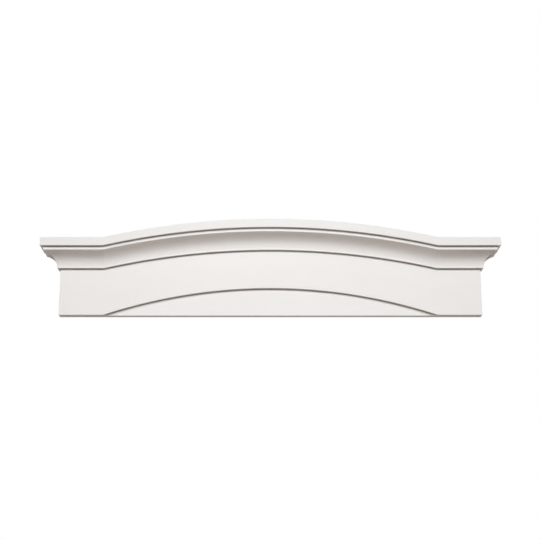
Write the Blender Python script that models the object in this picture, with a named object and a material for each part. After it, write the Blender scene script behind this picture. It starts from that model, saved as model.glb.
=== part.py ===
"""Window crosshead: one moulded piece that is fixed to the wall over a window.

A plain breastboard carries a small cornice: a lip, a cove, a fillet and a top band.
The cornice runs level at both ends, rises in a low arch between them, and returns
to the wall at each end with a mitre. A shallow panel with an arched top is sunk
into the foot of the board.

Units are metres and +Z is up. The flat back lies on the wall, in the plane y = 0,
and the face looks along -Y. The origin is the wall mount, on the back's centreline.
"""

import math

import bmesh
import bpy
from mathutils import Matrix, Vector

# Breastboard, below the cornice
BOARD_WIDTH = 1.016
BOARD_HEIGHT = 0.1150
BOARD_DEPTH = 0.0233

# Cornice members from the lip upwards: heights, and how far each one steps out
LIP_HEIGHT = 0.0040
LIP_STEP = 0.0072
COVE_HEIGHT = 0.0330
COVE_STEP = 0.0312
COVE_HOLLOW = 0.0070
FILLET_HEIGHT = 0.0090
BAND_HEIGHT = 0.0205
BAND_STEP = 0.0072

# Arch of the cornice: it bends up at this distance from each end of the board
LEVEL_END = 0.106
ARCH_RISE = 0.0462

# Sunk panel: it springs from the underside, straight below the arch's two bends
PANEL_RISE = 0.0668
PANEL_SINKING = 0.0078

# Softened arrises along the mouldings
ARRIS_RADIUS = 0.0006

# Height of the wall mount above the underside
WALL_MOUNT_HEIGHT = 0.0900

# Fineness of the curved stretches
ARCH_FACETS = 48
COVE_FACETS = 12
PANEL_FACETS = 56
ARRIS_FACETS = 2

# Distances that only the cutting and welding use
CUTTER_MARGIN = 0.02
WELD_DISTANCE = 0.00001
FLAT_ANGLE = math.radians(0.05)
CREASE_ANGLE = math.radians(12.0)

# Finish: smooth white primer
PRIMER_COLOUR = (0.84, 0.83, 0.81, 1.0)
PRIMER_ROUGHNESS = 0.5


def clear_scene():
    """Remove every object and the collections that held them."""
    for obj in list(bpy.data.objects):
        bpy.data.objects.remove(obj, do_unlink=True)
    for collection in list(bpy.data.collections):
        bpy.data.collections.remove(collection)


def new_collection(name):
    """Make a collection in the scene."""
    collection = bpy.data.collections.new(name)
    bpy.context.scene.collection.children.link(collection)
    return collection


def primer_material():
    """Smooth white primer on the moulded face."""
    material = bpy.data.materials.new("white_primer")
    material.use_nodes = True
    shader = material.node_tree.nodes["Principled BSDF"]
    shader.inputs["Base Color"].default_value = PRIMER_COLOUR
    shader.inputs["Roughness"].default_value = PRIMER_ROUGHNESS
    shader.inputs["Metallic"].default_value = 0.0
    return material


def arc_points(start, end, sagitta, facets):
    """Points of the arc from start to end that bows by sagitta to the left of the chord."""
    chord = end - start
    half = chord.length / 2
    radius = (half * half + sagitta * sagitta) / (2 * sagitta)
    along = chord.normalized()
    left = Vector((-along.y, along.x))
    centre = (start + end) / 2 - left * (radius - sagitta)
    half_angle = math.asin(half / radius)
    points = []
    for step in range(facets + 1):
        angle = -half_angle + 2 * half_angle * step / facets
        points.append(centre + along * radius * math.sin(angle) + left * radius * math.cos(angle))
    return points


def eased_corner(before, corner, after):
    """A standing-out corner's arris as a short arc that touches both of its sides."""
    back = before - corner
    ahead = after - corner
    half_corner = back.angle(ahead) / 2
    setback = ARRIS_RADIUS / math.tan(half_corner)
    setback = min(setback, back.length / 2, ahead.length / 2)
    start = corner + back.normalized() * setback
    end = corner + ahead.normalized() * setback
    sagitta = setback * math.tan(half_corner) * (1 - math.sin(half_corner))
    return arc_points(end, start, sagitta, ARRIS_FACETS)[::-1]


def moulding_face():
    """The section's face from the underside up, as (distance out, height) pairs.

    The distance is counted from the face of the breastboard.
    """
    lip_bottom = BOARD_HEIGHT
    cove_bottom = lip_bottom + LIP_HEIGHT
    fillet_bottom = cove_bottom + COVE_HEIGHT
    band_bottom = fillet_bottom + FILLET_HEIGHT
    top = band_bottom + BAND_HEIGHT
    fillet_out = LIP_STEP + COVE_STEP
    band_out = fillet_out + BAND_STEP

    cove = arc_points(
        Vector((LIP_STEP, cove_bottom)), Vector((fillet_out, fillet_bottom)), COVE_HOLLOW, COVE_FACETS
    )
    inner = Vector((-BOARD_DEPTH, 0.0))
    foot = Vector((0.0, 0.0))
    throat = Vector((0.0, lip_bottom))
    lip = Vector((LIP_STEP, lip_bottom))
    recess = Vector((fillet_out, band_bottom))
    drip = Vector((band_out, band_bottom))
    crown = Vector((band_out, top))
    inner_top = Vector((-BOARD_DEPTH, top))

    face = eased_corner(inner, foot, throat)
    face.append(throat)
    face += eased_corner(throat, lip, cove[0])
    face += cove[:-1]
    face += eased_corner(cove[-2], cove[-1], recess)
    face.append(recess)
    face += eased_corner(recess, drip, crown)
    face += eased_corner(drip, crown, inner_top)
    return face


def closed_section():
    """The face closed round the back, where the board's back is one board's depth inwards."""
    face = moulding_face()
    return face + [Vector((-BOARD_DEPTH, face[-1].y)), Vector((-BOARD_DEPTH, 0.0))]


def half_span():
    """Half the arch's span, which the sunk panel shares."""
    return BOARD_WIDTH / 2 - LEVEL_END


def arch_radius(rise):
    """Radius of the arc that rises this much over the arch's span."""
    return (half_span() ** 2 + rise * rise) / (2 * rise)


def lift_at(x):
    """How far the arch lifts the cornice at a distance x from the centreline."""
    radius = arch_radius(ARCH_RISE)
    return math.sqrt(radius * radius - x * x) - (radius - ARCH_RISE)


def end_rings(section, side):
    """The section at one end: where it meets the wall, and at the mitre of the return."""
    wall = []
    mitre = []
    for point in section:
        x = side * (BOARD_WIDTH / 2 + point.x)
        wall.append(Vector((x, 0.0, point.y)))
        mitre.append(Vector((x, -(BOARD_DEPTH + point.x), point.y)))
    return wall, mitre


def arch_ring(section, x):
    """The upright section at x; all of it above the board's plain face is lifted."""
    lift = lift_at(x)
    ring = []
    for point in section:
        height = point.y + lift if point.y > BOARD_HEIGHT / 2 else point.y
        ring.append(Vector((x, -(BOARD_DEPTH + point.x), height)))
    return ring


def crosshead_rings():
    """Every section of the crosshead, from the wall at one end to the wall at the other."""
    section = closed_section()
    left_wall, left_mitre = end_rings(section, -1)
    right_wall, right_mitre = end_rings(section, 1)
    rings = [left_wall, left_mitre]
    for step in range(ARCH_FACETS + 1):
        rings.append(arch_ring(section, half_span() * (2 * step / ARCH_FACETS - 1)))
    return rings + [right_mitre, right_wall]


def panel_outline():
    """Arched panel in elevation; its arc runs on past the underside."""
    depth = PANEL_RISE + CUTTER_MARGIN
    half_foot = math.sqrt(depth * (2 * arch_radius(PANEL_RISE) - depth))
    left_foot = Vector((-half_foot, -CUTTER_MARGIN))
    right_foot = Vector((half_foot, -CUTTER_MARGIN))
    return arc_points(left_foot, right_foot, depth, PANEL_FACETS)


def evaluated_mesh(obj):
    """The object's mesh with its modifiers applied."""
    bpy.context.view_layer.update()
    depsgraph = bpy.context.evaluated_depsgraph_get()
    return bpy.data.meshes.new_from_object(obj.evaluated_get(depsgraph))


def loft(name, rings, collection):
    """A closed solid through a row of rings that have the same number of points."""
    solid = bmesh.new()
    loops = [[solid.verts.new(point) for point in ring] for ring in rings]
    for near, far in zip(loops, loops[1:]):
        for index in range(len(near)):
            solid.faces.new((near[index - 1], near[index], far[index], far[index - 1]))
    solid.faces.new(loops[0])
    solid.faces.new(loops[-1])
    return solid_object(name, solid, collection)


def solid_object(name, solid, collection):
    """Tidy a closed mesh, turn its faces outwards and link it as an object."""
    bmesh.ops.remove_doubles(solid, verts=solid.verts, dist=WELD_DISTANCE)
    bmesh.ops.dissolve_limit(solid, angle_limit=FLAT_ANGLE, verts=solid.verts, edges=solid.edges)
    bmesh.ops.recalc_face_normals(solid, faces=solid.faces)
    mesh = bpy.data.meshes.new(name)
    solid.to_mesh(mesh)
    solid.free()
    obj = bpy.data.objects.new(name, mesh)
    collection.objects.link(obj)
    return obj


def upright_prism(name, outline, thickness, collection):
    """Extrude an outline in elevation evenly to both sides of the plane y = 0."""
    curve = bpy.data.curves.new(name, "CURVE")
    curve.dimensions = "2D"
    curve.fill_mode = "BOTH"
    curve.extrude = thickness / 2
    spline = curve.splines.new("POLY")
    spline.points.add(len(outline) - 1)
    for spline_point, point in zip(spline.points, outline):
        spline_point.co = (point.x, point.y, 0.0, 1.0)
    spline.use_cyclic_u = True
    drawn = bpy.data.objects.new(name, curve)
    collection.objects.link(drawn)

    solid = bmesh.new()
    solid.from_mesh(evaluated_mesh(drawn))
    solid.transform(Matrix.Rotation(math.radians(90), 4, "X"))
    bpy.data.objects.remove(drawn, do_unlink=True)
    return solid_object(name, solid, collection)


def sink_panel(crosshead, cutters):
    """Sink the arched panel into the foot of the board."""
    reach = BOARD_DEPTH + CUTTER_MARGIN
    panel_face = BOARD_DEPTH - PANEL_SINKING
    cutter = upright_prism("panel_cutter", panel_outline(), reach - panel_face, cutters)
    cutter.location.y = -(reach + panel_face) / 2
    cutter.display_type = "WIRE"
    cutter.hide_render = True

    modifier = crosshead.modifiers.new("sunk_panel", "BOOLEAN")
    modifier.operation = "DIFFERENCE"
    modifier.solver = "EXACT"
    modifier.object = cutter
    mesh = evaluated_mesh(crosshead)
    crosshead.modifiers.clear()
    crosshead.data = mesh
    return cutter


def main():
    """Build the crosshead and hang it from its wall mount."""
    clear_scene()
    parts = new_collection("window_crosshead")
    cutters = new_collection("cutters")

    crosshead = loft("crosshead", crosshead_rings(), parts)
    cutter = sink_panel(crosshead, cutters)
    crosshead.data.materials.append(primer_material())
    crosshead.data.shade_smooth()
    crosshead.data.set_sharp_from_angle(angle=CREASE_ANGLE)

    underside = bpy.data.objects.new("underside_centre", None)
    underside.location.z = -WALL_MOUNT_HEIGHT
    parts.objects.link(underside)
    crosshead.parent = underside
    cutter.parent = underside


main()
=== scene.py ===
"""Looks of the window crosshead: a moulded head in white primer that goes over a window.

The crosshead is one piece. Its section is drawn once, and a Geometry Nodes tree carries
it round the mitred returns and along the arch, where it is lifted straight up and never
turned. Lengths are in metres, +Z is up, the face looks along -Y and the back is at y = 0.
"""

import logging
import math
from dataclasses import dataclass
from enum import Enum

import bmesh
import bpy
from mathutils import Matrix, Vector


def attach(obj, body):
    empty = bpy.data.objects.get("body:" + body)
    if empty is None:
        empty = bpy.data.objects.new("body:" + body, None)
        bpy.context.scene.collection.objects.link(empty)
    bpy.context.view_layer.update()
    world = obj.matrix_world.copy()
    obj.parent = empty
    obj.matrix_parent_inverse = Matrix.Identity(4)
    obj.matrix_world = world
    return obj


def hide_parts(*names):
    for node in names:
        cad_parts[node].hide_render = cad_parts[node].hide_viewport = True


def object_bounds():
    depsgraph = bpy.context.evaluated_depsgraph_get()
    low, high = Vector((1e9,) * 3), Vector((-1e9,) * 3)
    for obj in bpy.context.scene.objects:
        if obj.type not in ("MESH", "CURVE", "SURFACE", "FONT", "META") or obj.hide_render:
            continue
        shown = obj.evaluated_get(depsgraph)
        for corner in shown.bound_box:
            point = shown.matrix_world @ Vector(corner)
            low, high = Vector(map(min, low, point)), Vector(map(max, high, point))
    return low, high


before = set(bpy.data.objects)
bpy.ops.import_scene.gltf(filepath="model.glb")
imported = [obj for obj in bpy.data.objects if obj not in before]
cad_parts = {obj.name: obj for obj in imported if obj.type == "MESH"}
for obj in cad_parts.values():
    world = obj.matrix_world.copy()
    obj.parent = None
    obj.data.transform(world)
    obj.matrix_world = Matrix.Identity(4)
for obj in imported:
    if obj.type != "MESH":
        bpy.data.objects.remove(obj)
CAD_LOW, CAD_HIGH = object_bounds()

LOG = logging.getLogger("crosshead")

Socket = bpy.types.NodeSocket
Value = float | int | bool | Socket
Colour = tuple[float, float, float, float]
Tint = tuple[float, float, float]

WHITE = (1.0, 1.0, 1.0, 1.0)


class Follows(Enum):
    """What lifts a corner of the section along the crosshead: its share of arch and panel."""

    BOARD = (0.0, 0.0)
    ARCH = (1.0, 0.0)
    PANEL = (0.0, 1.0)


class NodeSheet:
    """Writes nodes into a tree, each with its inputs set or linked in one call."""

    def __init__(self, tree: bpy.types.NodeTree) -> None:
        """Start on an emptied tree.

        Args:
            tree: The material, world or geometry tree to write into.
        """
        self.tree = tree
        self.tree.nodes.clear()

    def add(self, kind: str, values: dict | None = None, **settings: object) -> bpy.types.Node:
        """Add one node.

        Args:
            kind: The node's type name.
            values: What goes into its inputs, by name or number: constants or sockets.
            **settings: The node's own properties.

        Returns:
            The new node.
        """
        node = self.tree.nodes.new(kind)
        for name, setting in settings.items():
            setattr(node, name, setting)
        for name, value in (values or {}).items():
            self.feed(node.inputs[name], value)
        return node

    def feed(self, socket: Socket, value: object) -> None:
        """Link a socket to an input, or set it to a constant.

        Args:
            socket: The input.
            value: A socket to link from, or a constant.
        """
        if isinstance(value, Socket):
            self.tree.links.new(value, socket)
        else:
            socket.default_value = value

    def maths(self, operation: str, *values: Value) -> Socket:
        """One step of arithmetic.

        Args:
            operation: The Math node's operation.
            *values: Its one, two or three terms.

        Returns:
            The result's socket.
        """
        node = self.add("ShaderNodeMath", operation=operation)
        for socket, value in zip(node.inputs, values):
            self.feed(socket, value)
        return node.outputs[0]

    def held(self, value: Socket) -> Socket:
        """Hold a value between 0 and 1."""
        return self.maths("MINIMUM", self.maths("MAXIMUM", value, 0.0), 1.0)

    def parts_of(self, vector: Socket) -> tuple[Socket, ...]:
        """Split a vector into its x, y and z sockets."""
        return tuple(self.add("ShaderNodeSeparateXYZ", {0: vector}).outputs)

    def noise(self, at: Socket, scale: float, detail: float) -> Socket:
        """Noise from 0 to 1.

        Args:
            at: The coordinates' socket.
            scale: Waves in a metre.
            detail: How many finer layers are added.

        Returns:
            The noise's factor.
        """
        node = self.add("ShaderNodeTexNoise", {"Vector": at, "Scale": scale, "Detail": detail})
        return node.outputs[0]

    def spread(self, noise: Socket, low: float, high: float) -> Socket:
        """Stretch noise about its middle over a range.

        Args:
            noise: Noise from 0 to 1.
            low: The result at the noise's usual low.
            high: The result at its usual high.

        Returns:
            The stretched value.
        """
        usual_low, usual_high = 0.3, 0.7
        ends = {"From Min": usual_low, "From Max": usual_high, "To Min": low, "To Max": high}
        return self.add("ShaderNodeMapRange", {"Value": noise, **ends}).outputs["Result"]

    def blend(self, share: Value, first: object, second: object) -> Socket:
        """Mix two colours.

        Args:
            share: How much of the second colour shows.
            first: Colour or socket at 0.
            second: Colour or socket at 1.

        Returns:
            The mixed colour.
        """
        node = self.add("ShaderNodeMix", data_type="RGBA")
        for name, value in (("Factor_Float", share), ("A_Color", first), ("B_Color", second)):
            socket = next(each for each in node.inputs if each.identifier == name)
            self.feed(socket, value)
        return next(each for each in node.outputs if each.identifier == "Result_Color")

    def bump(self, height: Socket, distance: float, **others: object) -> Socket:
        """Raise the shaded surface by a pattern.

        Args:
            height: The pattern, from 0 to 1.
            distance: How high it stands at 1.
            **others: The node's Strength, or the Normal that it adds to.

        Returns:
            The bumped normal.
        """
        values = {"Height": height, "Distance": distance, "Strength": 1.0, **others}
        return self.add("ShaderNodeBump", values).outputs[0]


def new_material(name: str) -> tuple[bpy.types.Material, NodeSheet]:
    """Start a material.

    Args:
        name: The material's name.

    Returns:
        The material, and an empty sheet for its nodes.
    """
    material = bpy.data.materials.new(name)
    material.use_nodes = True
    return material, NodeSheet(material.node_tree)


@dataclass(frozen=True)
class PrimerFinish:
    """Factory primer: satin-matt white, sprayed, rubbed on the arrises, with painted shade in the
    throats.

    Waves are counted in a metre, and a share says how much of the thin colour shows.
    """

    colour: Colour = (0.738, 0.737, 0.734, 1.0)
    thin_colour: Colour = (0.700, 0.696, 0.686, 1.0)
    # Painted shade: the dark colour mixed into the throats, standing for the shade under the lip, the
    # band and the panel's step.
    throat_shade_colour: Colour = (0.245, 0.227, 0.212, 1.0)
    roughness: float = 0.46
    gloss_change: float = 0.03
    rubbed_gloss: float = 0.06
    sway_waves: float = 7.0
    sway_height: float = 0.00012
    sway_share: float = 0.4
    peel_waves: float = 380.0
    peel_height: float = 0.00006
    peel_share: float = 0.25
    rub_waves: float = 38.0
    rub_range: tuple[float, float] = (0.15, 0.9)
    rub_share: float = 0.6
    throat_shade_waves: float = 60.0
    throat_shade_range: tuple[float, float] = (0.88, 1.0)

    def material(self) -> bpy.types.Material:
        """Make the primer, which reads Object coordinates and two attributes of the piece.

        Returns:
            The material.
        """
        material, sheet = new_material("white_primer_coat")
        at = sheet.add("ShaderNodeTexCoord").outputs["Object"]
        arris = sheet.add("ShaderNodeAttribute", attribute_name="arris").outputs["Fac"]
        throat = sheet.add("ShaderNodeAttribute", attribute_name="throat").outputs["Fac"]
        sway = sheet.noise(at, self.sway_waves, detail=3.0)
        peel = sheet.noise(at, self.peel_waves, detail=2.0)
        patches = sheet.spread(sheet.noise(at, self.rub_waves, detail=3.0), *self.rub_range)
        rub = sheet.maths("MULTIPLY", arris, patches)
        # Painted shade: the primer darkens in the concave corners under the lip, the band and the
        # panel's step, where shade falls.
        patches = sheet.spread(sheet.noise(at, self.throat_shade_waves, detail=3.0), *self.throat_shade_range)
        painted_throat_shade = sheet.maths("MULTIPLY", throat, patches)

        film = sheet.blend(sheet.spread(sway, 0.0, self.sway_share), self.colour, self.thin_colour)
        film = sheet.blend(sheet.spread(peel, 0.0, self.peel_share), film, self.thin_colour)
        film = sheet.blend(sheet.maths("MULTIPLY", rub, self.rub_share), film, self.thin_colour)
        film = sheet.blend(painted_throat_shade, film, self.throat_shade_colour)

        change = (-self.gloss_change, self.gloss_change)
        gloss = sheet.maths("ADD", sheet.spread(sway, *change), sheet.spread(peel, *change))
        gloss = sheet.maths("ADD", gloss, self.roughness)
        gloss = sheet.maths("SUBTRACT", gloss, sheet.maths("MULTIPLY", rub, self.rubbed_gloss))

        swayed = sheet.bump(sway, self.sway_height)
        peeled = sheet.bump(peel, self.peel_height, Normal=swayed)
        values = {"Base Color": film, "Roughness": gloss, "Normal": peeled}
        shader = sheet.add("ShaderNodeBsdfPrincipled", values)
        sheet.add("ShaderNodeOutputMaterial", {"Surface": shader.outputs[0]})
        return material


@dataclass(frozen=True)
class BareBackFinish:
    """The flat back: unprimed moulded foam, planed flat, with fine pores and planing marks.

    Waves and cells are counted in a metre, and a share says how much of the pores' colour shows.
    """

    colour: Colour = (0.70, 0.65, 0.54, 1.0)
    pore_colour: Colour = (0.50, 0.45, 0.35, 1.0)
    roughness: float = 0.86
    pore_cells: float = 520.0
    pore_rim: tuple[float, float] = (0.12, 0.30)
    pore_depth: float = 0.00018
    mark_waves: float = 260.0
    mark_stretch: float = 0.03
    mark_depth: float = 0.0001
    mark_strength: float = 0.6
    mark_share: float = 0.12
    cloud_waves: float = 9.0
    cloud_share: float = 0.25

    def material(self) -> bpy.types.Material:
        """Make the bare foam, which reads Object coordinates.

        Returns:
            The material.
        """
        material, sheet = new_material("bare_foam_back")
        at = sheet.add("ShaderNodeTexCoord").outputs["Object"]
        along = sheet.add("ShaderNodeMapping", {"Vector": at, "Scale": (self.mark_stretch, 1.0, 1.0)})
        cells = sheet.add("ShaderNodeTexVoronoi", {"Vector": at, "Scale": self.pore_cells})
        values = {"Value": cells.outputs["Distance"]}
        values["From Min"], values["From Max"] = self.pore_rim
        pore = sheet.add("ShaderNodeMapRange", values).outputs["Result"]
        marks = sheet.noise(along.outputs[0], self.mark_waves, detail=3.0)
        cloud = sheet.noise(at, self.cloud_waves, detail=4.0)

        foam = sheet.blend(pore, self.pore_colour, self.colour)
        foam = sheet.blend(sheet.spread(cloud, 0.0, self.cloud_share), foam, self.pore_colour)
        foam = sheet.blend(sheet.spread(marks, 0.0, self.mark_share), foam, self.pore_colour)

        planed = sheet.bump(marks, self.mark_depth, Strength=self.mark_strength)
        pitted = sheet.bump(pore, self.pore_depth, Normal=planed)
        values = {"Base Color": foam, "Roughness": self.roughness, "Normal": pitted}
        shader = sheet.add("ShaderNodeBsdfPrincipled", values)
        sheet.add("ShaderNodeOutputMaterial", {"Surface": shader.outputs[0]})
        return material


@dataclass(frozen=True)
class Corner:
    """One corner of the section, counted from the board's face and its underside.

    It may be eased with a radius, and be a throat with shade painted in. One that shrinks loses
    its round where the panel runs out. One that is mitred has an eased arris where it turns to the
    return.
    """

    out: float
    height: float
    follows: Follows
    ease: float = 0.0
    shrinks: bool = False
    mitred: bool = True
    throat: bool = False


@dataclass(frozen=True)
class SectionPoint:
    """One point of the eased section: its corner, how far it lies from it, and its roles."""

    corner: Corner
    offset: Vector
    arris: float = 0.0
    throat: float = 0.0


@dataclass
class Cornice:
    """The cornice's members from the lip up, as heights and as steps outwards."""

    lip_height: float = 0.0040
    lip_step: float = 0.0072
    cove_height: float = 0.0330
    cove_step: float = 0.0312
    cove_hollow: float = 0.0070
    fillet_height: float = 0.0090
    band_height: float = 0.0205
    band_step: float = 0.0072
    cove_facets: int = 32

    @property
    def height(self) -> float:
        """Height from the lip's soffit to the top."""
        return self.lip_height + self.cove_height + self.fillet_height + self.band_height

    @property
    def projection(self) -> float:
        """How far the band stands out from the board's face."""
        return self.lip_step + self.cove_step + self.band_step

    def cove(self, start: Vector, end: Vector) -> list[Vector]:
        """The hollow's curve between its two arrises.

        Args:
            start: Where it leaves the lip.
            end: Where it meets the fillet.

        Returns:
            The points between the two ends, from the lip up.
        """
        chord = end - start
        half = chord.length / 2
        radius = (half * half + self.cove_hollow * self.cove_hollow) / (2 * self.cove_hollow)
        along = chord.normalized()
        inwards = Vector((-along.y, along.x))
        centre = (start + end) / 2 - inwards * (radius - self.cove_hollow)
        half_angle = math.asin(half / radius)
        points = []
        for step in range(1, self.cove_facets):
            angle = half_angle * (2 * step / self.cove_facets - 1)
            points.append(centre + (along * math.sin(angle) + inwards * math.cos(angle)) * radius)
        return points


@dataclass
class Crosshead:
    """The crosshead: board, cornice, arch, returns and sunk panel, moulded in one.

    A holding point on each side of an eased corner keeps the flat beyond it flat. It lies the
    hold beyond an arris's round, or at the reach of the shade painted into a throat, and takes at
    most its share of the side. Where the panel has too little room for them, the points of the
    sunk corners shrink.
    """

    cornice: Cornice
    level_end: float = 0.106
    arch_rise: float = 0.0462
    panel_rise: float = 0.0668
    panel_sinking: float = 0.0078
    arris: float = 0.0006
    corner_fill: float = 0.0004
    hold: float = 0.0011
    throat_shade_reach: float = 0.0032
    side_share: float = 0.75
    panel_spare: float = 1.25
    arch_steps: int = 240
    ease_steps: int = 4
    weld: float = 0.00001

    @property
    def board_half(self) -> float:
        """Half the board's width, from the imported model's reach to the side."""
        return CAD_HIGH.x - self.cornice.projection

    @property
    def board_depth(self) -> float:
        """The board's thickness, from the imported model's reach to the front."""
        return -CAD_LOW.y - self.cornice.projection

    @property
    def board_height(self) -> float:
        """Height of the board's plain face at the level ends."""
        return CAD_HIGH.z - CAD_LOW.z - self.arch_rise - self.cornice.height

    @property
    def half_span(self) -> float:
        """Half the span of the arch, which the panel shares."""
        return self.board_half - self.level_end

    def corners(self) -> list[Corner]:
        """The section's corners, from the back's lower edge round to its upper one.

        Returns:
            The corners in order; those on the sunk panel have the panel's height at zero.
        """
        cornice = self.cornice
        lip = self.board_height
        cove_low = lip + cornice.lip_height
        cove_high = cove_low + cornice.cove_height
        drip = cove_high + cornice.fillet_height
        top = drip + cornice.band_height
        fillet_out = cornice.lip_step + cornice.cove_step
        sunk = -self.panel_sinking
        arch = Follows.ARCH
        corners = [
            Corner(-self.board_depth, 0.0, Follows.BOARD, mitred=False),
            Corner(sunk, 0.0, Follows.BOARD, self.arris, shrinks=True),
            Corner(sunk, 0.0, Follows.PANEL, self.corner_fill, shrinks=True, throat=True),
            Corner(0.0, 0.0, Follows.PANEL, self.arris),
            Corner(0.0, lip, arch, self.corner_fill, throat=True),
            Corner(cornice.lip_step, lip, arch, self.arris),
            Corner(cornice.lip_step, cove_low, arch),
        ]
        cove_start = Vector((cornice.lip_step, cove_low))
        cove_end = Vector((fillet_out, cove_high))
        corners += [Corner(*point, arch) for point in cornice.cove(cove_start, cove_end)]
        return corners + [
            Corner(fillet_out, cove_high, arch, self.arris),
            Corner(fillet_out, drip, arch, self.corner_fill, throat=True),
            Corner(cornice.projection, drip, arch, self.arris),
            Corner(cornice.projection, top, arch, self.arris),
            Corner(-self.board_depth, top, arch, mitred=False),
        ]

    def eased(self, before: Corner, corner: Corner, after: Corner) -> list[SectionPoint]:
        """Round one corner off, with a holding point on each side of the round.

        Args:
            before: The corner before it.
            corner: The corner itself.
            after: The corner after it.

        Returns:
            Its points in order, or the plain corner where nothing is eased.
        """
        if not corner.ease:
            return [SectionPoint(corner, Vector((0.0, 0.0)))]
        middle = self.shown_at_centre(corner)
        back = self.shown_at_centre(before) - middle
        ahead = self.shown_at_centre(after) - middle
        limit = self.throat_shade_reach if corner.throat else self.arris + self.hold
        back_reach = min(back.length * self.side_share, limit)
        ahead_reach = min(ahead.length * self.side_share, limit)
        back.normalize()
        ahead.normalize()

        half_corner = back.angle(ahead) / 2
        setback = corner.ease / math.tan(half_corner)
        centre = (back + ahead).normalized() * (corner.ease / math.sin(half_corner))
        first = back * setback - centre
        last = ahead * setback - centre
        turn = first.angle_signed(last)
        # A throat's round carries the painted shade, and an arris's round carries the rub.
        roles = (0.0, 1.0) if corner.throat else (1.0, 0.0)
        points = [SectionPoint(corner, back * back_reach)]
        for step in range(self.ease_steps + 1):
            spoke = first.copy()
            spoke.rotate(Matrix.Rotation(-turn * step / self.ease_steps, 2))
            points.append(SectionPoint(corner, centre + spoke, *roles))
        points.append(SectionPoint(corner, ahead * ahead_reach))
        return points

    def shown_at_centre(self, corner: Corner) -> Vector:
        """Lift a corner as under the crown.

        Args:
            corner: The corner.

        Returns:
            Its place in the section on the centreline.
        """
        arch_share, panel_share = corner.follows.value
        lift = arch_share * self.arch_rise + panel_share * self.panel_rise
        return Vector((corner.out, corner.height + lift))

    def section(self) -> bpy.types.Object:
        """The eased section as a ring of edges that carries each point's roles.

        Returns:
            An object whose mesh has the points in order, with x outwards and y upwards.
        """
        corners = self.corners()
        points = []
        for index, corner in enumerate(corners):
            after = corners[(index + 1) % len(corners)]
            points += self.eased(corners[index - 1], corner, after)
        mesh = bpy.data.meshes.new("crosshead_section")
        places = [(point.corner.out, point.corner.height, 0.0) for point in points]
        count = len(points)
        mesh.from_pydata(places, [(index, (index + 1) % count) for index in range(count)], [])
        roles = {
            "offset": [(point.offset.x, point.offset.y, 0.0) for point in points],
            "lifts": [(*point.corner.follows.value, float(point.corner.shrinks)) for point in points],
            "edges": [(float(point.corner.mitred), point.arris, point.throat) for point in points],
        }
        for name, values in roles.items():
            attribute = mesh.attributes.new(name, "FLOAT_VECTOR", "POINT")
            attribute.data.foreach_set("vector", [number for value in values for number in value])
        piece = bpy.data.objects.new("moulded_crosshead", mesh)
        bpy.context.scene.collection.objects.link(piece)
        return piece

    def sizes(self, face: bpy.types.Material, back: bpy.types.Material) -> dict[str, object]:
        """What the node tree is given, by the names of its inputs.

        Args:
            face: The finish of every face that shows on the wall.
            back: The finish of the back.

        Returns:
            The inputs' values.
        """
        return {
            "Board Half": self.board_half,
            "Board Depth": self.board_depth,
            "Half Span": self.half_span,
            "Arch Rise": self.arch_rise,
            "Panel Rise": self.panel_rise,
            "Underside": CAD_LOW.z,
            "Arris": self.arris,
            "Panel Room": self.panel_spare * (self.arris + self.hold + self.throat_shade_reach),
            "Weld": self.weld,
            "Arch Steps": self.arch_steps,
            "Ease Steps": self.ease_steps,
            "Face Finish": face,
            "Back Finish": back,
        }

    def lofted(self, piece: bpy.types.Object, sizes: dict[str, object]) -> bpy.types.Mesh:
        """Run the node tree on the section and read back a plain mesh.

        Args:
            piece: The section's object.
            sizes: The tree's inputs by name.

        Returns:
            The closed crosshead, with its two finishes alone as materials.
        """
        tree = CrossheadLoft().tree(sizes)
        loft = piece.modifiers.new("loft", "NODES")
        loft.node_group = tree
        for item in tree.interface.items_tree:
            if item.in_out == "INPUT" and item.name in sizes:
                loft[item.identifier] = sizes[item.name]
        bpy.context.view_layer.update()
        depsgraph = bpy.context.evaluated_depsgraph_get()
        mesh = bpy.data.meshes.new_from_object(piece.evaluated_get(depsgraph))
        piece.modifiers.remove(loft)
        # The grid brings an empty slot of its own.
        if mesh.materials[0] is None:
            mesh.materials.pop(index=0)
        return mesh

    def smoothed(self, piece: bpy.types.Object) -> None:
        """Shade the piece smooth, with crisp bends, a crisp edge at the wall and flats that stay flat.

        Args:
            piece: The crosshead's object.
        """
        mesh = piece.data
        mesh.shade_smooth()
        crease = mesh.attributes.new("sharp_edge", "BOOLEAN", "EDGE")
        reach = self.half_span
        bends = [abs(abs(vertex.co.x) - reach) < self.weld for vertex in mesh.vertices]
        wall = [abs(vertex.co.y) < self.weld for vertex in mesh.vertices]
        ends = [edge.vertices for edge in mesh.edges]
        crisp = [(bends[near] and bends[far]) or (wall[near] and wall[far]) for near, far in ends]
        crease.data.foreach_set("value", crisp)
        weighted = piece.modifiers.new("flat_faces", "WEIGHTED_NORMAL")
        weighted.keep_sharp = True
        bpy.context.view_layer.update()
        depsgraph = bpy.context.evaluated_depsgraph_get()
        piece.data = bpy.data.meshes.new_from_object(piece.evaluated_get(depsgraph))
        piece.modifiers.clear()

    def build(self, face: PrimerFinish, back: BareBackFinish) -> bpy.types.Object:
        """Make the crosshead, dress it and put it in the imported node's place.

        Args:
            face: The finish of every face that shows on the wall.
            back: The finish of the back.

        Returns:
            The finished piece.
        """
        piece = self.section()
        piece.data = self.lofted(piece, self.sizes(face.material(), back.material()))
        self.smoothed(piece)
        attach(piece, "root")
        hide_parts("crosshead")
        return piece


@dataclass(frozen=True)
class Stations:
    """Where each point of the grid stands.

    It has a column in the section, a count of stations from the nearer end, a side (-1 or 1),
    and its way along the arch from 0 to 1. The arch begins after the mitre's rows.
    """

    column: Socket
    from_end: Socket
    side: Socket
    along: Socket
    mitre_rows: Socket


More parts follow.
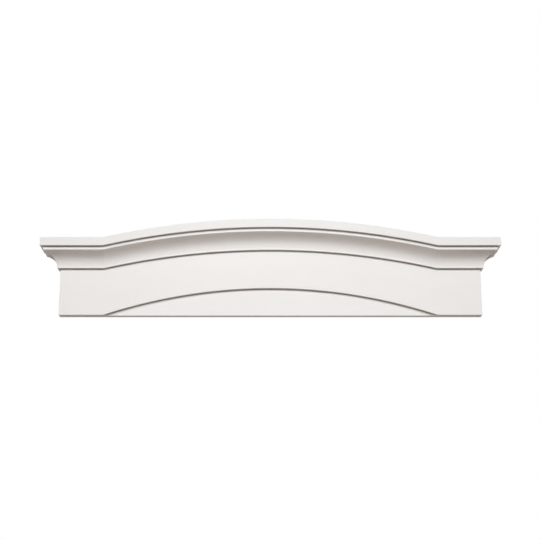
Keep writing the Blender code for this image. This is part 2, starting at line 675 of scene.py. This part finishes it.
class CrossheadLoft:
    """The node tree that carries the section round the returns and along the arch.

    Stations run from the wall at one end, round that end's mitre, along the arch, round
    the other mitre and back to the wall. A grid has one row for each station and one
    column for each point of the section, and its ends are filled where they meet the wall.
    Whole numbers are compared half a step beside them.
    """

    def __init__(self) -> None:
        """Open a new, empty tree."""
        self.group = bpy.data.node_groups.new("crosshead_loft", "GeometryNodeTree")
        self.sheet = NodeSheet(self.group)
        self.given: dict[str, Socket] = {}

    def open_inputs(self, sizes: dict[str, object]) -> None:
        """Name the tree's inputs after the sizes.

        Args:
            sizes: The values that the inputs will be given.
        """
        kinds = {
            float: "NodeSocketFloat",
            int: "NodeSocketInt",
            bpy.types.Material: "NodeSocketMaterial",
        }
        interface = self.group.interface
        interface.new_socket("Section", in_out="INPUT", socket_type="NodeSocketGeometry")
        for name, value in sizes.items():
            interface.new_socket(name, in_out="INPUT", socket_type=kinds[type(value)])
        interface.new_socket("Crosshead", in_out="OUTPUT", socket_type="NodeSocketGeometry")
        entry = self.sheet.add("NodeGroupInput")
        self.given = {socket.name: socket for socket in entry.outputs if socket.name}

    def rise_at(self, x: Socket, rise: Socket) -> Socket:
        """Height of an arc over the half span, at a distance from the centreline.

        Args:
            x: Distance from the centreline.
            rise: The arc's rise in the middle.

        Returns:
            Its height there, zero at the span's ends.
        """
        maths = self.sheet.maths
        span = self.given["Half Span"]
        both = maths("ADD", maths("MULTIPLY", span, span), maths("MULTIPLY", rise, rise))
        radius = maths("DIVIDE", both, maths("MULTIPLY", rise, 2.0))
        across = maths("MULTIPLY", x, x)
        upright = maths("SQRT", maths("SUBTRACT", maths("MULTIPLY", radius, radius), across))
        height = maths("ADD", maths("SUBTRACT", upright, radius), rise)
        return maths("MAXIMUM", height, 0.0)

    def sampled(self, value: Socket, column: Socket) -> Socket:
        """Read a vector of the section at a column of the grid.

        Args:
            value: The vector, as the section has it.
            column: The grid point's column.

        Returns:
            The vector at that column.
        """
        node = self.sheet.add(
            "GeometryNodeSampleIndex",
            {"Geometry": self.given["Section"], "Index": column},
            data_type="FLOAT_VECTOR",
            domain="POINT",
        )
        source = next(socket for socket in node.inputs if socket.enabled and socket.name == "Value")
        self.sheet.feed(source, value)
        return next(socket for socket in node.outputs if socket.enabled)

    def section_at(self, column: Socket) -> dict[str, tuple[Socket, ...]]:
        """Read the section's point and its roles at a column of the grid.

        Args:
            column: The grid point's column.

        Returns:
            The parts of its place, offset, lifts and edges, by name.
        """
        values = {"place": self.sheet.add("GeometryNodeInputPosition").outputs[0]}
        for name in ("offset", "lifts", "edges"):
            role = self.sheet.add(
                "GeometryNodeInputNamedAttribute", {"Name": name}, data_type="FLOAT_VECTOR"
            )
            values[name] = next(socket for socket in role.outputs if socket.enabled)
        sheet = self.sheet
        return {name: sheet.parts_of(self.sampled(value, column)) for name, value in values.items()}

    def stations(self) -> tuple[Socket, Stations]:
        """Lay the grid, and count its rows and columns.

        Returns:
            The flat grid, and where each of its points stands.
        """
        sheet, given, maths = self.sheet, self.given, self.sheet.maths
        size = sheet.add("GeometryNodeAttributeDomainSize", {"Geometry": given["Section"]})
        count = size.outputs["Point Count"]
        # The last column repeats the first, so the section closes.
        columns = maths("ADD", count, 1.0)
        mitre_rows = maths("ADD", given["Ease Steps"], 2.0)
        rows = maths("ADD", given["Arch Steps"], maths("MULTIPLY_ADD", mitre_rows, 2.0, 1.0))
        grid = sheet.add("GeometryNodeMeshGrid", {"Vertices X": rows, "Vertices Y": columns})

        index = sheet.add("GeometryNodeInputIndex").outputs[0]
        station = maths("FLOOR", maths("DIVIDE", maths("ADD", index, 0.5), columns))
        column = maths("SUBTRACT", index, maths("MULTIPLY", station, columns))
        column = maths("MODULO", column, count)
        last = maths("SUBTRACT", rows, 1.0)
        side = maths("SIGN", maths("SUBTRACT", station, maths("MULTIPLY", last, 0.5)))
        from_end = maths("MINIMUM", station, maths("SUBTRACT", last, station))
        along = maths("DIVIDE", maths("SUBTRACT", station, mitre_rows), given["Arch Steps"])
        stations = Stations(column, from_end, side, sheet.held(along), mitre_rows)
        return grid.outputs["Mesh"], stations

    def lifted(
        self, point: dict[str, tuple[Socket, ...]], arch_x: Socket
    ) -> tuple[Socket, Socket]:
        """Lift each point with the arch or the panel, and shrink what the panel crowds.

        Args:
            point: The parts of the section's point and roles.
            arch_x: How far along the arch it stands.

        Returns:
            How far out it lies from the board's face, and its height.
        """
        given, maths = self.given, self.sheet.maths
        place, offset, lifts = point["place"], point["offset"], point["lifts"]
        arch_height = self.rise_at(arch_x, given["Arch Rise"])
        panel_height = self.rise_at(arch_x, given["Panel Rise"])
        room = maths("MINIMUM", maths("DIVIDE", panel_height, given["Panel Room"]), 1.0)
        crowded = maths("MULTIPLY", lifts[2], maths("SUBTRACT", 1.0, room))
        shrink = maths("SUBTRACT", 1.0, crowded)
        out = maths("MULTIPLY_ADD", offset[0], shrink, place[0])
        up = maths("MULTIPLY_ADD", offset[1], shrink, place[1])
        up = maths("MULTIPLY_ADD", lifts[0], arch_height, up)
        up = maths("MULTIPLY_ADD", lifts[1], panel_height, up)
        return out, maths("ADD", up, given["Underside"])

    def turned(self, out: Socket, mitred: Socket, stations: Stations) -> tuple[Socket, Socket]:
        """Carry each point round its end's mitre, whose arris is eased.

        Args:
            out: How far out the point lies.
            mitred: Whether its arris is eased at the mitre.
            stations: Where the point stands.

        Returns:
            Its x beside the arch, and its y off the wall.
        """
        given, maths = self.given, self.sheet.maths
        ease = maths("MULTIPLY", given["Arris"], mitred)
        turn = maths("DIVIDE", maths("SUBTRACT", stations.from_end, 1.0), given["Ease Steps"])
        turn = maths("MULTIPLY", self.sheet.held(turn), math.pi / 2)
        side_cut = maths("MULTIPLY", ease, maths("SUBTRACT", 1.0, maths("COSINE", turn)))
        front_cut = maths("MULTIPLY", ease, maths("SUBTRACT", 1.0, maths("SINE", turn)))
        reach = maths("SUBTRACT", maths("ADD", given["Board Half"], out), side_cut)
        end_x = maths("MULTIPLY", stations.side, reach)
        front_y = maths("SUBTRACT", front_cut, maths("ADD", given["Board Depth"], out))
        return end_x, front_y

    def lofted_grid(self) -> tuple[Socket, dict[str, Socket]]:
        """The moulded surface as a grid of stations by section points.

        Returns:
            The placed grid, and each point's share in an arris and in a throat's painted shade, by
            name.
        """
        sheet, given, maths = self.sheet, self.given, self.sheet.maths
        grid, stations = self.stations()
        point = self.section_at(stations.column)
        mitred, arris, throat = point["edges"]
        across = maths("MULTIPLY_ADD", stations.along, 2.0, -1.0)
        arch_x = maths("MULTIPLY", given["Half Span"], across)
        out, z = self.lifted(point, arch_x)
        end_x, front_y = self.turned(out, mitred, stations)

        first_on_arch = maths("SUBTRACT", stations.mitre_rows, 0.5)
        on_arch = maths("GREATER_THAN", stations.from_end, first_on_arch)
        beside_arch = maths("SUBTRACT", 1.0, on_arch)
        x = maths("ADD", maths("MULTIPLY", on_arch, arch_x), maths("MULTIPLY", beside_arch, end_x))
        off_wall = maths("GREATER_THAN", stations.from_end, 0.5)
        y = maths("MULTIPLY", off_wall, front_y)
        place = sheet.add("ShaderNodeCombineXYZ", {"X": x, "Y": y, "Z": z}).outputs[0]
        placed = sheet.add("GeometryNodeSetPosition", {"Geometry": grid, "Position": place})
        return placed.outputs[0], {"arris": arris, "throat": throat}

    def marked(self, surface: Socket, name: str, share: Socket) -> Socket:
        """Store a share on the surface's points, for its finish to read.

        Args:
            surface: The surface.
            name: The attribute's name.
            share: Each point's share, from 0 to 1.

        Returns:
            The marked surface.
        """
        node = self.sheet.add(
            "GeometryNodeStoreNamedAttribute",
            {"Geometry": surface, "Name": name},
            data_type="FLOAT",
            domain="POINT",
        )
        value = next(socket for socket in node.inputs if socket.enabled and socket.name == "Value")
        self.sheet.feed(value, share)
        return node.outputs[0]

    def wall_ends(self, surface: Socket) -> Socket:
        """Fill the two open ends, which lie in the plane of the wall.

        Args:
            surface: The moulded surface, closed all round apart from its ends.

        Returns:
            The two end faces, facing the wall.
        """
        sheet = self.sheet
        faces = sheet.add("GeometryNodeInputMeshEdgeNeighbors").outputs["Face Count"]
        lone = sheet.maths("LESS_THAN", faces, 1.5)
        rings = sheet.add("GeometryNodeMeshToCurve", {"Mesh": surface, "Selection": lone})
        # Fill Curve works in the level plane, so the rings are laid down and stood up again.
        quarter = math.pi / 2
        values = {"Geometry": rings.outputs[0], "Rotation": (-quarter, 0.0, 0.0)}
        laid = sheet.add("GeometryNodeTransform", values)
        filled = sheet.add("GeometryNodeFillCurve", {"Curve": laid.outputs[0]}, mode="NGONS")
        values = {"Geometry": filled.outputs[0], "Rotation": (quarter, 0.0, 0.0)}
        stood = sheet.add("GeometryNodeTransform", values)
        return sheet.add("GeometryNodeFlipFaces", {"Mesh": stood.outputs[0]}).outputs[0]

    def dressed(self, surface: Socket) -> Socket:
        """Give the closed crosshead its two finishes.

        Args:
            surface: The closed crosshead.

        Returns:
            The crosshead with primer all over, and bare foam where it faces the wall.
        """
        sheet, given = self.sheet, self.given
        values = {"Geometry": surface, "Material": given["Face Finish"]}
        primed = sheet.add("GeometryNodeSetMaterial", values).outputs[0]
        normal = sheet.parts_of(sheet.add("GeometryNodeInputNormal").outputs[0])
        nearly_square = 0.9
        facing_wall = sheet.maths("GREATER_THAN", normal[1], nearly_square)
        values = {"Geometry": primed, "Selection": facing_wall, "Material": given["Back Finish"]}
        return sheet.add("GeometryNodeSetMaterial", values).outputs[0]

    def tree(self, sizes: dict[str, object]) -> bpy.types.NodeTree:
        """Write the whole tree.

        Args:
            sizes: The values that its inputs will be given.

        Returns:
            The tree, ready for a modifier.
        """
        self.open_inputs(sizes)
        sheet, weld = self.sheet, self.given["Weld"]
        surface, shares = self.lofted_grid()
        for name, share in shares.items():
            surface = self.marked(surface, name, share)
        closed = sheet.add("GeometryNodeMergeByDistance", {"Geometry": surface, "Distance": weld})
        joined = sheet.add("GeometryNodeJoinGeometry")
        for part in (closed.outputs[0], self.wall_ends(closed.outputs[0])):
            sheet.feed(joined.inputs[0], part)
        values = {"Geometry": joined.outputs[0], "Distance": weld}
        welded = sheet.add("GeometryNodeMergeByDistance", values)
        real = sheet.add("GeometryNodeRealizeInstances", {"Geometry": welded.outputs[0]})
        sheet.add("NodeGroupOutput", {"Crosshead": self.dressed(real.outputs[0])})
        return self.group


@dataclass(frozen=True)
class SoftLight:
    """A soft, tinted light: a sun, or a round lamp where it hangs near the piece.

    Angles are in degrees. Azimuth 0 is in front of the face, and 90 to the viewer's right.
    Strength is how bright it makes a white surface that faces it at the origin. Near is a
    lamp's distance from there, and 0 for a sun.
    """

    name: str
    elevation: float
    strength: float
    azimuth: float = 0.0
    spread: float = 14.0
    tint: Tint = WHITE[:3]
    near: float = 0.0

    def hang(self) -> bpy.types.Object:
        """Put the light in the scene.

        Returns:
            The light, which the camera doesn't see.
        """
        rise, turn = math.radians(self.elevation), math.radians(self.azimuth)
        level = math.cos(rise)
        source = Vector((math.sin(turn) * level, -math.cos(turn) * level, math.sin(rise)))
        spread = math.radians(self.spread)
        if self.near:
            data = bpy.data.lights.new(self.name, "AREA")
            data.shape = "DISK"
            data.size = 2 * self.near * math.tan(spread / 2)
            data.energy = self.strength * (math.pi * self.near) ** 2
        else:
            data = bpy.data.lights.new(self.name, "SUN")
            data.energy = math.pi * self.strength
            data.angle = spread
        data.color = self.tint
        light = bpy.data.objects.new(self.name, data)
        light.location = source * self.near
        light.rotation_euler = source.to_track_quat("Z", "Y").to_euler()
        light.visible_camera = False
        bpy.context.scene.collection.objects.link(light)
        return light


@dataclass
class Studio:
    """Pale floor, white surroundings, soft light and the photograph's point of view."""

    floor_drop: float = 3.0
    floor_width: float = 44.0
    floor_colour: Colour = (0.58, 0.58, 0.57, 1.0)
    floor_dulling: float = 0.97
    floor_waves: float = 1.5
    floor_roughness: float = 0.9
    haze_share: float = 0.4
    side_tint: Tint = (1.05, 0.99, 0.975)
    lamp_tint: Tint = (0.92, 1.02, 1.04)
    glow: float = 0.035
    look_up: float = math.radians(16.12)
    distance: float = 3.043
    lens: float = 83.78
    film: float = 36.0
    aim_right: float = -0.0010
    aim_up: float = 0.1120
    aim_front: float = 0.0233

    def lights(self) -> list[SoftLight]:
        """Choose the lights.

        Returns:
            Two pairs from the sides, four lamps in front, fill from below, and the back's own.
        """
        side, lamp = self.side_tint, self.lamp_tint
        return [
            SoftLight("left_side", 21.0, 0.262, azimuth=-37.0, tint=side),
            SoftLight("right_side", 21.0, 0.262, azimuth=37.0, tint=side),
            SoftLight("left_high", 28.0, 0.16, azimuth=-37.0, tint=side),
            SoftLight("right_high", 28.0, 0.16, azimuth=37.0, tint=side),
            SoftLight("low_lamp", 20.0, 0.03, tint=lamp, near=3.0),
            SoftLight("lamp", 26.0, 0.06, tint=lamp, near=3.0),
            SoftLight("high_lamp", 32.0, 0.19, tint=lamp, near=3.0),
            SoftLight("front_low", -12.0, 0.20, spread=40.0, tint=(1.03, 1.01, 0.93), near=1.2),
            SoftLight("below", -80.0, 0.162, spread=50.0, tint=(1.29, 0.95, 0.81)),
            SoftLight("below_back", -45.0, 0.13, azimuth=180.0, spread=50.0, tint=(0.95, 1.02, 1.0)),
            SoftLight("above_back", 70.0, 0.26, azimuth=180.0, spread=50.0),
            SoftLight("back", 14.0, 0.55, azimuth=180.0, spread=30.0),
        ]

    def lay_floor(self) -> bpy.types.Object:
        """Lay the floor well below the piece.

        Returns:
            The floor.
        """
        shape = bmesh.new()
        bmesh.ops.create_grid(shape, x_segments=1, y_segments=1, size=self.floor_width / 2)
        bmesh.ops.translate(shape, verts=shape.verts, vec=(0.0, 0.0, -self.floor_drop))
        mesh = bpy.data.meshes.new("floor")
        shape.to_mesh(mesh)
        shape.free()
        floor = bpy.data.objects.new("floor", mesh)
        bpy.context.scene.collection.objects.link(floor)
        # The lights below shine through it, and it throws no light back.
        floor.visible_shadow = False
        floor.visible_diffuse = False
        mesh.materials.append(self.floor_material())
        return floor

    def floor_material(self) -> bpy.types.Material:
        """Make a pale grey matt floor, faintly uneven, which fades to white far away.

        Returns:
            The material.
        """
        material, sheet = new_material("pale_floor")
        at = sheet.add("ShaderNodeTexCoord").outputs["Object"]
        dulled = tuple(part * self.floor_dulling for part in self.floor_colour[:3]) + (1.0,)
        paint = sheet.blend(sheet.noise(at, self.floor_waves, detail=3.0), self.floor_colour, dulled)
        values = {"Base Color": paint, "Roughness": self.floor_roughness}
        shader = sheet.add("ShaderNodeBsdfPrincipled", values)
        away = sheet.add("ShaderNodeVectorMath", {0: at}, operation="LENGTH").outputs["Value"]
        white_from = self.floor_width * self.haze_share
        values = {"Value": away, "From Min": self.floor_drop, "From Max": white_from}
        far = sheet.add("ShaderNodeMapRange", values, interpolation_type="SMOOTHSTEP")
        haze = sheet.add("ShaderNodeEmission", {"Color": WHITE})
        values = {0: far.outputs["Result"], 1: shader.outputs[0], 2: haze.outputs[0]}
        swept = sheet.add("ShaderNodeMixShader", values)
        sheet.add("ShaderNodeOutputMaterial", {"Surface": swept.outputs[0]})
        return material

    def light_surroundings(self) -> None:
        """White all round to the camera, and a dim glow to everything else."""
        world = bpy.data.worlds.new("studio")
        world.use_nodes = True
        sheet = NodeSheet(world.node_tree)
        seen = sheet.add("ShaderNodeLightPath").outputs["Is Camera Ray"]
        glow = sheet.maths("MULTIPLY_ADD", seen, 1.0 - self.glow, self.glow)
        backdrop = sheet.add("ShaderNodeBackground", {"Color": WHITE, "Strength": glow})
        sheet.add("ShaderNodeOutputWorld", {"Surface": backdrop.outputs[0]})
        bpy.context.scene.world = world
        bpy.context.scene.view_settings.view_transform = "Standard"

    def place_camera(self) -> bpy.types.Object:
        """Set the camera where the photograph was taken from.

        Returns:
            The camera.
        """
        data = bpy.data.cameras.new("camera")
        data.sensor_width = self.film
        data.lens = self.lens
        camera = bpy.data.objects.new("camera", data)
        bpy.context.scene.collection.objects.link(camera)
        aim = Vector((self.aim_right, -self.aim_front, CAD_LOW.z + self.aim_up))
        ahead = Vector((0.0, math.cos(self.look_up), math.sin(self.look_up)))
        right = Vector((1.0, 0.0, 0.0))
        axes = Matrix((right, right.cross(ahead), -ahead)).transposed().to_4x4()
        camera.matrix_world = Matrix.Translation(aim - ahead * self.distance) @ axes
        bpy.context.scene.camera = camera
        return camera

    def build(self) -> None:
        """Set up floor, surroundings, lights and camera."""
        self.lay_floor()
        self.light_surroundings()
        for light in self.lights():
            light.hang()
        self.place_camera()


def main() -> None:
    """Build the crosshead and the studio, and report each piece."""
    logging.basicConfig(level=logging.INFO, format="%(name)s: %(message)s")
    piece = Crosshead(Cornice()).build(PrimerFinish(), BareBackFinish())
    LOG.info("%s: %d faces", piece.name, len(piece.data.polygons))
    Studio().build()
    LOG.info("studio: floor, lights and camera")


if __name__ == "__main__":
    main()
